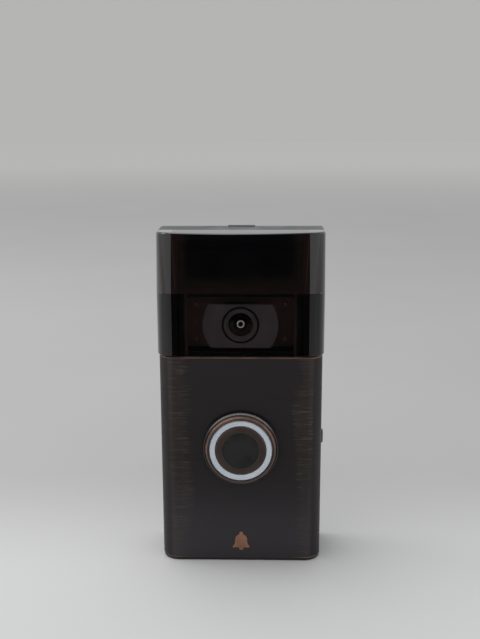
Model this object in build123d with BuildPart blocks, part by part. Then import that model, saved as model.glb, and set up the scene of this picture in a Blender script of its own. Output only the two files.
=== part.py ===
from build123d import *
import math
import os

os.makedirs("parts", exist_ok=True)

# Battery video doorbell, in millimetres. The wall is the plane Y = 0, the front faces -Y, +X is
# the doorbell's right-hand side as a visitor sees it, and +Z is up. Z = 0 is the lower edge.

# ---- Driving dimensions ----
HEIGHT = 126.9
DEPTH = 25.0
FACE_WIDTH = 60.9
GLOSS_WIDTH = 62.0
CORNER_RADIUS = 6.2
PARTING_Y = -13.0
SEAM = 0.1

FACE_THICKNESS = 1.2
FACE_BOTTOM = 1.15
FACE_TOP = 81.3
GLOSS_THICKNESS = 1.6
GLOSS_FRONT = -25.3
WINDOW_BOTTOM = 81.7
CREASE = 105.0
COVER_BOW = 3.5
COVER_TOP_RADIUS = 5.6
TOP_FILLET = 0.7

CHASSIS_HALF_WIDTH = 29.1
CHASSIS_WALL = 1.5
LOWER_DECK = -23.7
WINDOW_DECK = -22.0
SENSOR_DECK = -19.6
LOWER_DECK_TOP = 81.4
CHASSIS_TOP = 124.8
FLOOR = 2.4

BACK_WALL_FRONT = -5.2
BACK_WALL_BACK = -3.2
HOUSING_BACK = -0.2
CAVITY_HALF_WIDTH = 27.6
LIFT_TRAVEL = 8.0

BUTTON_Z = 46.0
BEZEL_RADIUS = 13.3
LIGHT_OUTER = 11.8
LIGHT_INNER = 9.65
CAP_RADIUS = 9.5
CENTRE_RADIUS = 7.0

CAMERA_Z = 93.0
SURROUND_RADIUS = 14.0
SURROUND_Z = 92.55
SURROUND_HALF_HEIGHT = 8.25

SETUP_Y = -9.0
SETUP_Z = 45.4

SCREW_Y = -7.0
MAIN_BOARD_FRONT = -12.0
MAIN_BOARD_BACK = -10.8
POST_END = -14.8
RING_BOARD_FRONT = -17.6


# ---- Helpers ----
def at_depth(y):
    """Plane facing the front at depth y: its own x is X and its own y is Z."""
    return Plane.XZ.offset(-y)


def block(low, high, mode=Mode.ADD):
    """Box between two opposite corners."""
    middle = (Vector(*low) + Vector(*high)) / 2
    extent = Vector(*high) - Vector(*low)
    with Locations(middle):
        Box(extent.X, extent.Y, extent.Z, mode=mode)


def rod(x, z, radius, back, front, mode=Mode.ADD):
    """Cylinder along Y between two depths."""
    with Locations(Location((x, (back + front) / 2, z), (90, 0, 0))):
        Cylinder(radius, back - front, mode=mode)


def pin(x, y, radius, low, high, mode=Mode.ADD):
    """Cylinder along Z between two heights."""
    with Locations((x, y, (low + high) / 2)):
        Cylinder(radius, high - low, mode=mode)


def tube(x, z, outer, inner, back, front):
    """Ring along Y between two depths."""
    rod(x, z, outer, back, front)
    rod(x, z, inner, back + 1, front - 1, mode=Mode.SUBTRACT)


def turned(points, x, z):
    """Solid of revolution about the Y direction through (x, z), from (radius, y) points."""
    with BuildPart() as body:
        with BuildSketch(Plane.XY):
            with BuildLine():
                Polyline(*points, close=True)
            make_face()
        revolve(axis=Axis.Y)
    return body.part.moved(Location((x, 0, z)))


def plan_outline(half_width, front, back, radius, height, bow=0.0):
    """Outline seen from above: straight sides, rounded front corners, front bowed back by bow."""
    shoulder = front + bow
    corner_x = half_width - radius
    corner_y = shoulder + radius
    reach = radius * math.sqrt(0.5)
    with BuildSketch(Plane.XY.offset(height)) as outline:
        with BuildLine():
            Polyline((-half_width, corner_y), (-half_width, back), (half_width, back),
                     (half_width, corner_y))
            ThreePointArc((half_width, corner_y), (corner_x + reach, corner_y - reach),
                          (corner_x, shoulder))
            if bow > 0:
                ThreePointArc((corner_x, shoulder), (0, front), (-corner_x, shoulder))
            else:
                Line((corner_x, shoulder), (-corner_x, shoulder))
            ThreePointArc((-corner_x, shoulder), (-corner_x - reach, corner_y - reach),
                          (-half_width, corner_y))
        make_face()
    return outline.sketch


def dome_arc(radius, edge_y, apex_y):
    """Arc of a spherical face from its rim at (radius, edge_y) to its apex at (0, apex_y)."""
    rise = edge_y - apex_y
    sphere = (radius**2 + rise**2) / (2 * rise)
    half_turn = math.asin(radius / abs(sphere)) / 2
    middle = (abs(sphere) * math.sin(half_turn), apex_y + sphere * (1 - math.cos(half_turn)))
    return ThreePointArc((radius, edge_y), middle, (0, apex_y))


def cross_recess(x, z, half_length, half_slot, back, front):
    """Cross-shaped driver recess cut between two depths."""
    for half_x, half_z in ((half_length, half_slot), (half_slot, half_length)):
        block((x - half_x, front, z - half_z), (x + half_x, back, z + half_z), mode=Mode.SUBTRACT)


def post_screw(x, z, head_face, head_depth, tip):
    """Small pan-head screw along Y, driven from the back, with a cross recess in its head."""
    head_back = head_face + head_depth
    rod(x, z, 1.7, head_back, head_face)
    rod(x, z, 0.75, head_face, tip)
    cross_recess(x, z, 1.0, 0.22, head_back + 0.1, head_back - 0.5)


def finish(piece, name):
    """Label a piece and write it to its own file."""
    piece.part.label = name
    export_step(piece.part, f"parts/{name}.step")


# ---- Mounting bracket ----
PLATE_HALF_WIDTH = 26.0
PLATE_BOTTOM = 12.0
PLATE_TOP = 122.0
PLATE_THICKNESS = 3.0
NECK_HALF_WIDTH = 12.0
NECK_THICKNESS = 2.6
LIP_THICKNESS = 2.6
LIP_FRONT = -12.0
TAB_HALF_WIDTH = 5.2
TAB_THICKNESS = 2.0
TAB_TOP = 127.3
WALL_HOLE_RADIUS = 2.2
WALL_HOLE_X = 17.0
WALL_HOLE_Z = (24.0, 110.0)
WIRE_OPENING = ((-12.0, 53.5), (12.0, 78.5))
HOOK_X = 23.0
HOOK_HALF_WIDTH = 2.0
HOOK_Z = (28.0, 98.0)
HOOK_STEM = 3.0
HOOK_FINGER = 5.0
HOOK_FRONT = -6.7
FINGER_BACK = -5.4
HEAD_POCKET_RADIUS = 2.8
HEAD_POCKET_DEPTH = 1.6
SCREW_RADIUS = 1.3
POCKET_DEPTH = 1.3
# Each pocket: distance of its middle from the centre line, half width, lower edge, upper edge.
BACK_POCKETS = (
    (19.0, 4.4, 33.0, 47.0),
    (19.0, 4.4, 49.5, 64.5),
    (19.0, 4.4, 67.0, 82.0),
    (19.0, 4.4, 84.5, 101.0),
    (5.6, 4.6, 15.0, 30.5),
    (5.6, 4.6, 107.5, 118.5),
)

with BuildPart() as mounting_bracket:
    with BuildSketch(at_depth(0)):
        with Locations((0, (PLATE_BOTTOM + PLATE_TOP) / 2)):
            RectangleRounded(2 * PLATE_HALF_WIDTH, PLATE_TOP - PLATE_BOTTOM, 4)
    extrude(amount=PLATE_THICKNESS)
    front_face = mounting_bracket.faces().sort_by(Axis.Y)[0]
    chamfer(front_face.edges(), 0.5)
    block((-NECK_HALF_WIDTH, -NECK_THICKNESS, 0), (NECK_HALF_WIDTH, 0, PLATE_BOTTOM + 2))
    block((-NECK_HALF_WIDTH, LIP_FRONT, 0), (NECK_HALF_WIDTH, 0, LIP_THICKNESS))
    block((-TAB_HALF_WIDTH, -TAB_THICKNESS, PLATE_TOP - 2), (TAB_HALF_WIDTH, 0, TAB_TOP))
    (opening_left, opening_low), (opening_right, opening_high) = WIRE_OPENING
    block((opening_left, -PLATE_THICKNESS - 1, opening_low), (opening_right, 1, opening_high),
          mode=Mode.SUBTRACT)
    for hole_z in WALL_HOLE_Z:
        for side in (-1, 1):
            rod(side * WALL_HOLE_X, hole_z, WALL_HOLE_RADIUS, 1, -PLATE_THICKNESS - 1,
                mode=Mode.SUBTRACT)
            # A shallow dish round each hole takes the screw's head below the plate's front face.
            rod(side * WALL_HOLE_X, hole_z, 2 * WALL_HOLE_RADIUS, -PLATE_THICKNESS + 1,
                -PLATE_THICKNESS - 1, mode=Mode.SUBTRACT)
    # Long shallow troughs lighten the front of the plate above and below the wire opening.
    for trough_low, trough_high in ((34, 50), (82, 104)):
        block((-12, -PLATE_THICKNESS - 1, trough_low), (12, -PLATE_THICKNESS + 1.2, trough_high),
              mode=Mode.SUBTRACT)
    # Pockets between ribs lighten its back.
    for pocket_x, pocket_half_width, pocket_low, pocket_high in BACK_POCKETS:
        for side in (-1, 1):
            block((side * pocket_x - pocket_half_width, -POCKET_DEPTH, pocket_low),
                  (side * pocket_x + pocket_half_width, 1, pocket_high), mode=Mode.SUBTRACT)
    for hook_z in HOOK_Z:
        for side in (-1, 1):
            left = side * HOOK_X - HOOK_HALF_WIDTH
            right = side * HOOK_X + HOOK_HALF_WIDTH
            block((left, HOOK_FRONT, hook_z), (right, -1, hook_z + HOOK_STEM))
            block((left, HOOK_FRONT, hook_z), (right, FINGER_BACK, hook_z + HOOK_STEM + HOOK_FINGER))
    pin(0, SCREW_Y, 1.6, -1, LIP_THICKNESS + 1, mode=Mode.SUBTRACT)
    pin(0, SCREW_Y, HEAD_POCKET_RADIUS, -1, HEAD_POCKET_DEPTH, mode=Mode.SUBTRACT)
finish(mounting_bracket, "mounting_bracket")

# ---- Security screw, driven from below into the insert ----
SECURITY_TIP = 12.0
with BuildPart() as security_screw:
    pin(0, SCREW_Y, 2.5, 0.15, HEAD_POCKET_DEPTH - 0.02)
    pin(0, SCREW_Y, SCREW_RADIUS, HEAD_POCKET_DEPTH - 0.1, SECURITY_TIP)
    tip_edges = security_screw.edges().sort_by(Axis.Z)[-1:]
    chamfer(tip_edges, 0.4)
    # Six-lobed socket.
    with BuildSketch(Plane.XY):
        with Locations((0, SCREW_Y)):
            Circle(0.95)
            with PolarLocations(1.0, 6):
                Circle(0.35)
    extrude(amount=1.0, mode=Mode.SUBTRACT)
finish(security_screw, "security_screw")

# ---- Threaded insert in the housing's floor ----
INSERT_LOW = 4.0
INSERT_HIGH = 12.2
INSERT_RADIUS = 2.1
with BuildPart() as threaded_insert:
    pin(0, SCREW_Y, INSERT_RADIUS, INSERT_LOW, INSERT_HIGH)
    pin(0, SCREW_Y, 1.55, INSERT_LOW - 1, INSERT_HIGH + 1, mode=Mode.SUBTRACT)
finish(threaded_insert, "threaded_insert")

# ---- Rear housing ----
CLEARANCE = 0.3
HOUSING_SCREW_X = 24.0
HOUSING_SCREW_Z = (9.0, 117.0)
BOARD_SCREW_X = 15.0
BOARD_SCREW_Z = (79.5, 117.0)
TERMINAL_X = 7.0
TERMINAL_Z = 60.0
USB_Z = 92.0
CAVITY_TOP = HEIGHT - FLOOR
RECESS_HALF_WIDTH = PLATE_HALF_WIDTH + 0.5
BOSS_TOP = 13.0


def back_shell(half_width, low, high):
    """Slab of the rear housing with its two back edges rounded."""
    middle_y = (PARTING_Y + HOUSING_BACK) / 2
    with BuildSketch(Plane.XY.offset(low)) as slab:
        with Locations((0, middle_y)):
            Rectangle(2 * half_width, HOUSING_BACK - PARTING_Y)
        fillet(slab.vertices().group_by(Axis.Y)[-1], 1.2)
    return extrude(slab.sketch, amount=high - low)


with BuildPart() as rear_housing:
    back_shell(FACE_WIDTH / 2, 0, FACE_TOP + 0.2)
    back_shell(GLOSS_WIDTH / 2, FACE_TOP + 0.2, HEIGHT)
    top_edges = rear_housing.faces().sort_by(Axis.Z)[-1].edges()
    fillet(top_edges.filter_by(lambda edge: edge.center().Y > PARTING_Y + 1), TOP_FILLET)
    block((-CAVITY_HALF_WIDTH, PARTING_Y - 1, FLOOR),
          (CAVITY_HALF_WIDTH, BACK_WALL_FRONT, CAVITY_TOP), mode=Mode.SUBTRACT)
    # Rabbet for the gasket.
    block((-CHASSIS_HALF_WIDTH, PARTING_Y - 1, 1.2), (CHASSIS_HALF_WIDTH, PARTING_Y + 0.4, CHASSIS_TOP),
          mode=Mode.SUBTRACT)
    # Recess for the bracket, open at the back, with a notch for its neck and one for its tab.
    block((-RECESS_HALF_WIDTH, BACK_WALL_BACK, 3.2), (RECESS_HALF_WIDTH, 1, PLATE_TOP + 0.6),
          mode=Mode.SUBTRACT)
    block((-NECK_HALF_WIDTH - CLEARANCE, BACK_WALL_BACK, -1), (NECK_HALF_WIDTH + CLEARANCE, 1, 4),
          mode=Mode.SUBTRACT)
    block((-TAB_HALF_WIDTH - CLEARANCE, -TAB_THICKNESS - CLEARANCE, PLATE_TOP),
          (TAB_HALF_WIDTH + CLEARANCE, 1, HEIGHT + 1), mode=Mode.SUBTRACT)
    # Floor over the bracket's lip, and the boss that holds the insert.
    block((-NECK_HALF_WIDTH - 2.5, PARTING_Y + 0.5, FLOOR), (NECK_HALF_WIDTH + 2.5, BACK_WALL_BACK, 5))
    pin(0, SCREW_Y, 3.2, 4, BOSS_TOP)
    block((-NECK_HALF_WIDTH - CLEARANCE, LIP_FRONT - CLEARANCE, -1),
          (NECK_HALF_WIDTH + CLEARANCE, 1, LIP_THICKNESS + CLEARANCE), mode=Mode.SUBTRACT)
    pin(0, SCREW_Y, 1.6, 0, INSERT_HIGH, mode=Mode.SUBTRACT)
    pin(0, SCREW_Y, INSERT_RADIUS, INSERT_LOW, INSERT_HIGH, mode=Mode.SUBTRACT)
    # Hook pockets: a window in the back wall and a closed box in front of it.
    for hook_z in HOOK_Z:
        for side in (-1, 1):
            left = side * HOOK_X - HOOK_HALF_WIDTH - CLEARANCE
            right = side * HOOK_X + HOOK_HALF_WIDTH + CLEARANCE
            low = hook_z - LIFT_TRAVEL - 0.6
            block((left - 1, HOOK_FRONT - 1.5, low - 1),
                  (right + 1, BACK_WALL_FRONT, hook_z + HOOK_STEM + HOOK_FINGER + 1.6))
            block((left, HOOK_FRONT - 0.5, low),
                  (right, BACK_WALL_FRONT + 0.01, hook_z + HOOK_STEM + HOOK_FINGER + 0.6),
                  mode=Mode.SUBTRACT)
            block((left, BACK_WALL_FRONT, low), (right, BACK_WALL_BACK + 0.01, hook_z + HOOK_STEM + 0.1),
                  mode=Mode.SUBTRACT)
    # Bosses for the case screws and the main board.
    for side in (-1, 1):
        for screw_z in HOUSING_SCREW_Z:
            rod(side * HOUSING_SCREW_X, screw_z, 2.6, BACK_WALL_BACK - 0.5, PARTING_Y + 0.1)
            rod(side * HOUSING_SCREW_X, screw_z, 1.1, 0, PARTING_Y - 1, mode=Mode.SUBTRACT)
            rod(side * HOUSING_SCREW_X, screw_z, 2.1, 0, BACK_WALL_BACK - 1.3, mode=Mode.SUBTRACT)
        for screw_z in BOARD_SCREW_Z:
            rod(side * BOARD_SCREW_X, screw_z, 2.0, BACK_WALL_FRONT + 0.5, MAIN_BOARD_BACK)
            rod(side * BOARD_SCREW_X, screw_z, 0.8, BACK_WALL_FRONT - 0.5, MAIN_BOARD_BACK - 1,
                mode=Mode.SUBTRACT)
        rod(side * TERMINAL_X, TERMINAL_Z, 1.35, 0, -8, mode=Mode.SUBTRACT)
    # USB opening in the back wall.
    with BuildSketch(at_depth(0)):
        with Locations((0, USB_Z)):
            SlotOverall(9.4, 3.6)
    extrude(amount=8, mode=Mode.SUBTRACT)
    # Setup button opening in the right-hand side.
    with BuildSketch(Plane.YZ.offset(CAVITY_HALF_WIDTH - 1)):
        with Locations((SETUP_Y, SETUP_Z)):
            SlotOverall(5.9, 3.5, rotation=90)
    extrude(amount=6, mode=Mode.SUBTRACT)
finish(rear_housing, "rear_housing")

# ---- Gasket between the chassis and the rear housing ----
with BuildPart() as housing_gasket:
    block((-29.0, PARTING_Y, 1.3), (29.0, PARTING_Y + 0.4, 124.7))
    block((-27.8, PARTING_Y - 1, 2.6), (27.8, PARTING_Y + 1, 123.9), mode=Mode.SUBTRACT)
finish(housing_gasket, "housing_gasket")

# ---- Front chassis ----
POST_X = {"camera": 21.8, "motion": 24.4, "ring": 17.4}
POST_Z = {"camera": CAMERA_Z, "motion": 108.8, "ring": BUTTON_Z}
POST_BACK = {"camera": POST_END, "motion": POST_END, "ring": RING_BOARD_FRONT}
POST_DECK = {"camera": WINDOW_DECK, "motion": SENSOR_DECK, "ring": LOWER_DECK}
CHASSIS_ZONES = (
    (0.0, LOWER_DECK_TOP, LOWER_DECK),
    (LOWER_DECK_TOP, CREASE, WINDOW_DECK),
    (CREASE, CHASSIS_TOP, SENSOR_DECK),
)
CAMERA_OPENING = ((-19.8, 82.6), (19.8, 103.4))
SENSOR_OPENING = ((-22.4, 106.3), (22.4, 122.8))
PORT_Y = -19.5
SPEAKER_PORT_X = (-8, -4, 0, 4, 8)
MICROPHONE_X = 20.0

with BuildPart() as front_chassis:
    for zone_low, zone_high, deck in CHASSIS_ZONES:
        extrude(plan_outline(CHASSIS_HALF_WIDTH, deck, PARTING_Y, 5.0, zone_low),
                amount=zone_high - zone_low)
    # Foot rim, seen as a dark strip below the faceplate.
    foot_outline = plan_outline(FACE_WIDTH / 2 - 0.2, -DEPTH + 0.3, PARTING_Y, CORNER_RADIUS, 0)
    extrude(foot_outline, amount=FACE_BOTTOM - 0.05)
    chamfer(front_chassis.faces().sort_by(Axis.Z)[0].edges(), 0.3)
    inner_low = FLOOR
    for zone_low, zone_high, deck in CHASSIS_ZONES:
        inner_outline = plan_outline(CHASSIS_HALF_WIDTH - CHASSIS_WALL, deck + CHASSIS_WALL,
                                     PARTING_Y + 1, 3.6, inner_low)
        extrude(inner_outline, amount=zone_high - CHASSIS_WALL - inner_low, mode=Mode.SUBTRACT)
        inner_low = zone_high - CHASSIS_WALL
    for (left, low), (right, high) in (CAMERA_OPENING, SENSOR_OPENING):
        with BuildSketch(at_depth(SENSOR_DECK + CHASSIS_WALL + 0.4)):
            with Locations(((left + right) / 2, (low + high) / 2)):
                RectangleRounded(right - left, high - low, 1.6)
        extrude(amount=DEPTH, mode=Mode.SUBTRACT)
    rod(0, BUTTON_Z, BEZEL_RADIUS + 0.15, LOWER_DECK + 2, LOWER_DECK - 1, mode=Mode.SUBTRACT)
    for side in (-1, 1):
        for screw_z in HOUSING_SCREW_Z:
            boss_deck = LOWER_DECK if screw_z < CREASE else SENSOR_DECK
            rod(side * HOUSING_SCREW_X, screw_z, 2.5, PARTING_Y, boss_deck + 0.6)
            rod(side * HOUSING_SCREW_X, screw_z, 0.9, PARTING_Y + 1, SENSOR_DECK + 2,
                mode=Mode.SUBTRACT)
        for post, post_x in POST_X.items():
            deck_inside = POST_DECK[post] + CHASSIS_WALL
            rod(side * post_x, POST_Z[post], 1.8, POST_BACK[post], deck_inside - 0.5)
            rod(side * post_x, POST_Z[post], 0.75, POST_BACK[post] + 1, deck_inside + 0.5,
                mode=Mode.SUBTRACT)
    for port_x in SPEAKER_PORT_X:
        pin(port_x, PORT_Y, 0.7, -1, FLOOR + 0.5, mode=Mode.SUBTRACT)
    pin(MICROPHONE_X, PORT_Y, 0.5, -1, FLOOR + 0.5, mode=Mode.SUBTRACT)
finish(front_chassis, "front_chassis")

# ---- Faceplate ----
COLLAR_RADIUS = 14.1
COLLAR_PROUD = 1.3
COLLAR_GAP = 0.22
MARK_Z = 8.4
MARK_DEPTH = 0.15


def bell_outline(plane, grow):
    """Plain bell sign: dome with a flared rim, a clapper and a loop, all grown by grow."""
    with BuildSketch(plane) as bell:
        with BuildLine():
            dome = ThreePointArc((-2.3 - grow, MARK_Z), (0, MARK_Z + 2.7 + grow), (2.3 + grow, MARK_Z))
            Spline(dome @ 1, (2.5 + grow, MARK_Z - 1.3), (3.3 + grow, MARK_Z - 2.5))
            Polyline((3.3 + grow, MARK_Z - 2.5), (3.3 + grow, MARK_Z - 2.9 - grow),
                     (-3.3 - grow, MARK_Z - 2.9 - grow), (-3.3 - grow, MARK_Z - 2.5))
            Spline((-3.3 - grow, MARK_Z - 2.5), (-2.5 - grow, MARK_Z - 1.3), dome @ 0)
        make_face()
        with Locations((0, MARK_Z + 3.0)):
            Circle(0.7 + grow)
        with Locations((0, MARK_Z - 3.1)):
            Circle(0.9 + grow)
    return bell.sketch


with BuildPart() as faceplate:
    outer = plan_outline(FACE_WIDTH / 2, -DEPTH, PARTING_Y - SEAM, CORNER_RADIUS, FACE_BOTTOM)
    extrude(outer, amount=FACE_TOP - FACE_BOTTOM)
    rim_edges = faceplate.faces().sort_by(Axis.Z)[-1].edges()
    rim_edges += faceplate.faces().sort_by(Axis.Z)[0].edges()
    fillet(rim_edges.filter_by(lambda edge: edge.center().Y < PARTING_Y - 1), 0.35)
    inner = plan_outline(FACE_WIDTH / 2 - FACE_THICKNESS, -DEPTH + FACE_THICKNESS, PARTING_Y + 1,
                         CORNER_RADIUS - FACE_THICKNESS, FACE_BOTTOM - 1)
    extrude(inner, amount=HEIGHT, mode=Mode.SUBTRACT)
    collar_front = -DEPTH - COLLAR_PROUD
    add(turned([(12, -DEPTH + 0.4), (COLLAR_RADIUS, -DEPTH + 0.4), (COLLAR_RADIUS, collar_front + 0.45),
                (COLLAR_RADIUS - 0.1, collar_front + 0.15), (COLLAR_RADIUS - 0.3, collar_front),
                (12, collar_front)], 0, BUTTON_Z))
    rod(0, BUTTON_Z, BEZEL_RADIUS + COLLAR_GAP, 0, -DEPTH - 2, mode=Mode.SUBTRACT)
    extrude(bell_outline(at_depth(-DEPTH + MARK_DEPTH), 0), amount=1, mode=Mode.SUBTRACT)
finish(faceplate, "faceplate")

with BuildPart() as bell_inlay:
    extrude(bell_outline(at_depth(-DEPTH + MARK_DEPTH), -0.02), amount=MARK_DEPTH + 0.03)
finish(bell_inlay, "bell_inlay")

with BuildPart() as faceplate_adhesive:
    block((-22, -DEPTH + FACE_THICKNESS, 4), (22, LOWER_DECK, 78))
    rod(0, BUTTON_Z, 16, 0, -DEPTH - 1, mode=Mode.SUBTRACT)
finish(faceplate_adhesive, "faceplate_adhesive")

# ---- Camera window and motion sensor cover ----
with BuildPart() as camera_window:
    outer = plan_outline(GLOSS_WIDTH / 2, GLOSS_FRONT, PARTING_Y - SEAM, CORNER_RADIUS, WINDOW_BOTTOM)
    extrude(outer, amount=CREASE - WINDOW_BOTTOM)
    rim_edges = camera_window.faces().sort_by(Axis.Z)[0].edges()
    fillet(rim_edges.filter_by(lambda edge: edge.center().Y < PARTING_Y - 1), 0.4)
    inner = plan_outline(GLOSS_WIDTH / 2 - GLOSS_THICKNESS, GLOSS_FRONT + GLOSS_THICKNESS,
                         PARTING_Y + 1, CORNER_RADIUS - GLOSS_THICKNESS, WINDOW_BOTTOM - 1)
    extrude(inner, amount=HEIGHT, mode=Mode.SUBTRACT)
finish(camera_window, "camera_window")

with BuildPart() as motion_sensor_cover:
    low_outline = plan_outline(GLOSS_WIDTH / 2, GLOSS_FRONT, PARTING_Y - SEAM, CORNER_RADIUS,
                               CREASE + SEAM, bow=0.05)
    high_outline = plan_outline(GLOSS_WIDTH / 2, GLOSS_FRONT, PARTING_Y - SEAM, COVER_TOP_RADIUS,
                                HEIGHT, bow=COVER_BOW)
    loft([low_outline, high_outline])
    rim_edges = motion_sensor_cover.faces().sort_by(Axis.Z)[-1].edges()
    fillet(rim_edges.filter_by(lambda edge: edge.center().Y < PARTING_Y - 1), TOP_FILLET)
    inner_half_width = GLOSS_WIDTH / 2 - GLOSS_THICKNESS
    inner_front = GLOSS_FRONT + GLOSS_THICKNESS
    inner_radius = CORNER_RADIUS - GLOSS_THICKNESS
    inner_low_outline = plan_outline(inner_half_width, inner_front, PARTING_Y + 1, inner_radius,
                                     CREASE - 0.5, bow=0.05)
    inner_high_outline = plan_outline(inner_half_width, inner_front, PARTING_Y + 1, inner_radius,
                                      HEIGHT - GLOSS_THICKNESS, bow=COVER_BOW)
    loft([inner_low_outline, inner_high_outline], mode=Mode.SUBTRACT)
finish(motion_sensor_cover, "motion_sensor_cover")

# ---- Camera ----
SURROUND_FRONT = -22.6
SURROUND_BACK = -21.4
LENS_RING_OUTER = 6.3
LENS_RING_INNER = 4.5
LENS_GAP_OUTER = 6.8
LENS_FRONT = -22.2
LENS_BACK = -21.7

with BuildPart() as camera_surround:
    with BuildSketch(at_depth(SURROUND_BACK)):
        with Locations((0, CAMERA_Z)):
            Circle(SURROUND_RADIUS)
        with Locations((0, SURROUND_Z)):
            Rectangle(2 * SURROUND_RADIUS, 2 * SURROUND_HALF_HEIGHT, mode=Mode.INTERSECT)
    extrude(amount=SURROUND_BACK - SURROUND_FRONT)
    chamfer(camera_surround.faces().sort_by(Axis.Y)[0].edges(), 0.2)
    rod(0, CAMERA_Z, LENS_GAP_OUTER, 0, -DEPTH, mode=Mode.SUBTRACT)
    # Arms reach back to the camera board on both sides.
    for side in (-1, 1):
        arm_inner = side * 9.5
        arm_outer = side * 12.5
        block((min(arm_inner, arm_outer), SURROUND_BACK, CAMERA_Z - 4),
              (max(arm_inner, arm_outer), POST_END, CAMERA_Z + 4))
finish(camera_surround, "camera_surround")

with BuildPart() as lens_gasket:
    tube(0, CAMERA_Z, LENS_GAP_OUTER - 0.02, LENS_RING_OUTER + 0.02, -20.6, -21.6)
finish(lens_gasket, "lens_gasket")

with BuildPart() as lens_ring:
    add(turned([(LENS_RING_INNER, -20.4), (LENS_RING_OUTER, -20.4), (LENS_RING_OUTER, -22.6),
                (LENS_RING_OUTER - 0.2, -22.8), (LENS_RING_INNER + 0.5, -22.8),
                (LENS_RING_INNER, -22.3)], 0, CAMERA_Z))
finish(lens_ring, "lens_ring")

with BuildPart() as front_lens:
    lens_radius = LENS_RING_INNER - 0.02
    with BuildSketch(Plane.XY):
        with BuildLine():
            Line((0, LENS_BACK), (lens_radius, -20.6))
            Line((lens_radius, -20.6), (lens_radius, LENS_FRONT + 0.9))
            dome_arc(lens_radius, LENS_FRONT + 0.9, LENS_FRONT)
            Line((0, LENS_FRONT), (0, LENS_BACK))
        make_face()
    revolve(axis=Axis.Y)
front_lens.part.location = Location((0, 0, CAMERA_Z))
finish(front_lens, "front_lens")

with BuildPart() as lens_barrel:
    add(turned([(2.2, -16.4), (5.6, -16.4), (5.6, -20.4), (4.4, -20.4), (3.6, -19.6), (3.6, -19.0),
                (2.8, -18.6), (2.8, -17.8), (2.2, -17.4)], 0, CAMERA_Z))
finish(lens_barrel, "lens_barrel")

with BuildPart() as lens_stop:
    add(turned([(0.95, -19.3), (3.5, -19.3), (3.5, -19.55), (1.8, -19.55), (1.45, -20.9),
                (1.3, -21.2), (1.05, -21.2)], 0, CAMERA_Z))
finish(lens_stop, "lens_stop")

with BuildPart() as lens_holder:
    block((-7, -18.2, CAMERA_Z - 7), (7, POST_END, CAMERA_Z + 7))
    chamfer(lens_holder.edges().filter_by(Axis.Y), 1.0)
    rod(0, CAMERA_Z, 5.62, -16.4, -19, mode=Mode.SUBTRACT)
    block((-5, -16.5, CAMERA_Z - 5), (5, POST_END + 1, CAMERA_Z + 5), mode=Mode.SUBTRACT)
finish(lens_holder, "lens_holder")

with BuildPart() as image_sensor:
    block((-4, -15.8, CAMERA_Z - 3.5), (4, POST_END, CAMERA_Z + 3.5))
    chamfer(image_sensor.faces().sort_by(Axis.Y)[0].edges(), 0.2)
finish(image_sensor, "image_sensor")

with BuildPart() as camera_board:
    with BuildSketch(at_depth(POST_END + 1)):
        with Locations((0, CAMERA_Z)):
            RectangleRounded(48, 20, 2)
        with Locations((-POST_X["camera"], CAMERA_Z), (POST_X["camera"], CAMERA_Z)):
            Circle(0.85, mode=Mode.SUBTRACT)
    extrude(amount=1)
finish(camera_board, "camera_board")

with BuildPart() as infrared_leds:
    for led_x in (-16.6, 16.6):
        for led_z in (CAMERA_Z - 6.5, CAMERA_Z + 6.5):
            block((led_x - 1.4, POST_END - 0.8, led_z - 1.4), (led_x + 1.4, POST_END, led_z + 1.4))
            with Locations(Location((led_x, POST_END - 0.8, led_z), (90, 0, 0))):
                Cone(1.2, 0.7, 0.8, align=(Align.CENTER, Align.CENTER, Align.MIN))
finish(infrared_leds, "infrared_leds")

with BuildPart() as light_sensor:
    block((-17.6, POST_END - 0.9, CAMERA_Z - 1), (-15.6, POST_END, CAMERA_Z + 1))
    rod(-16.6, CAMERA_Z, 0.6, POST_END - 0.8, POST_END - 1, mode=Mode.SUBTRACT)
finish(light_sensor, "light_sensor")

with BuildPart() as camera_cable:
    with BuildSketch(Plane.YZ.offset(-10)):
        with BuildLine() as ribbon_path:
            FilletPolyline((-13.7, 87.5), (-13.7, 83), (-12.1, 80), (-12.1, 77), radius=1.2)
        trace(ribbon_path.line, 0.2)
    extrude(amount=10)
finish(camera_cable, "camera_cable")

# ---- Motion sensors ----
with BuildPart() as motion_sensor_board:
    with BuildSketch(at_depth(POST_END + 1)):
        with Locations((0, 112.6)):
            Rectangle(40, 13.4)
        with Locations((0, POST_Z["motion"])):
            Rectangle(52.6, 5.4)
        with Locations((-POST_X["motion"], POST_Z["motion"]), (POST_X["motion"], POST_Z["motion"])):
            Circle(0.85, mode=Mode.SUBTRACT)
    extrude(amount=1)
finish(motion_sensor_board, "motion_sensor_board")

with BuildPart() as motion_sensors:
    for sensor_x in (-11, 11):
        rod(sensor_x, 113, 4.6, POST_END, POST_END - 0.5)
        rod(sensor_x, 113, 4.1, POST_END - 0.4, POST_END - 3.2)
        block((sensor_x - 1.6, POST_END - 3.3, 111.2), (sensor_x + 1.6, POST_END - 3.0, 114.8))
finish(motion_sensors, "motion_sensors")

with BuildPart() as post_screws:
    for side in (-1, 1):
        for post, post_x in POST_X.items():
            post_screw(side * post_x, POST_Z[post], POST_BACK[post] + 1, 0.8, POST_BACK[post] - 1.6)
finish(post_screws, "post_screws")

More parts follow.
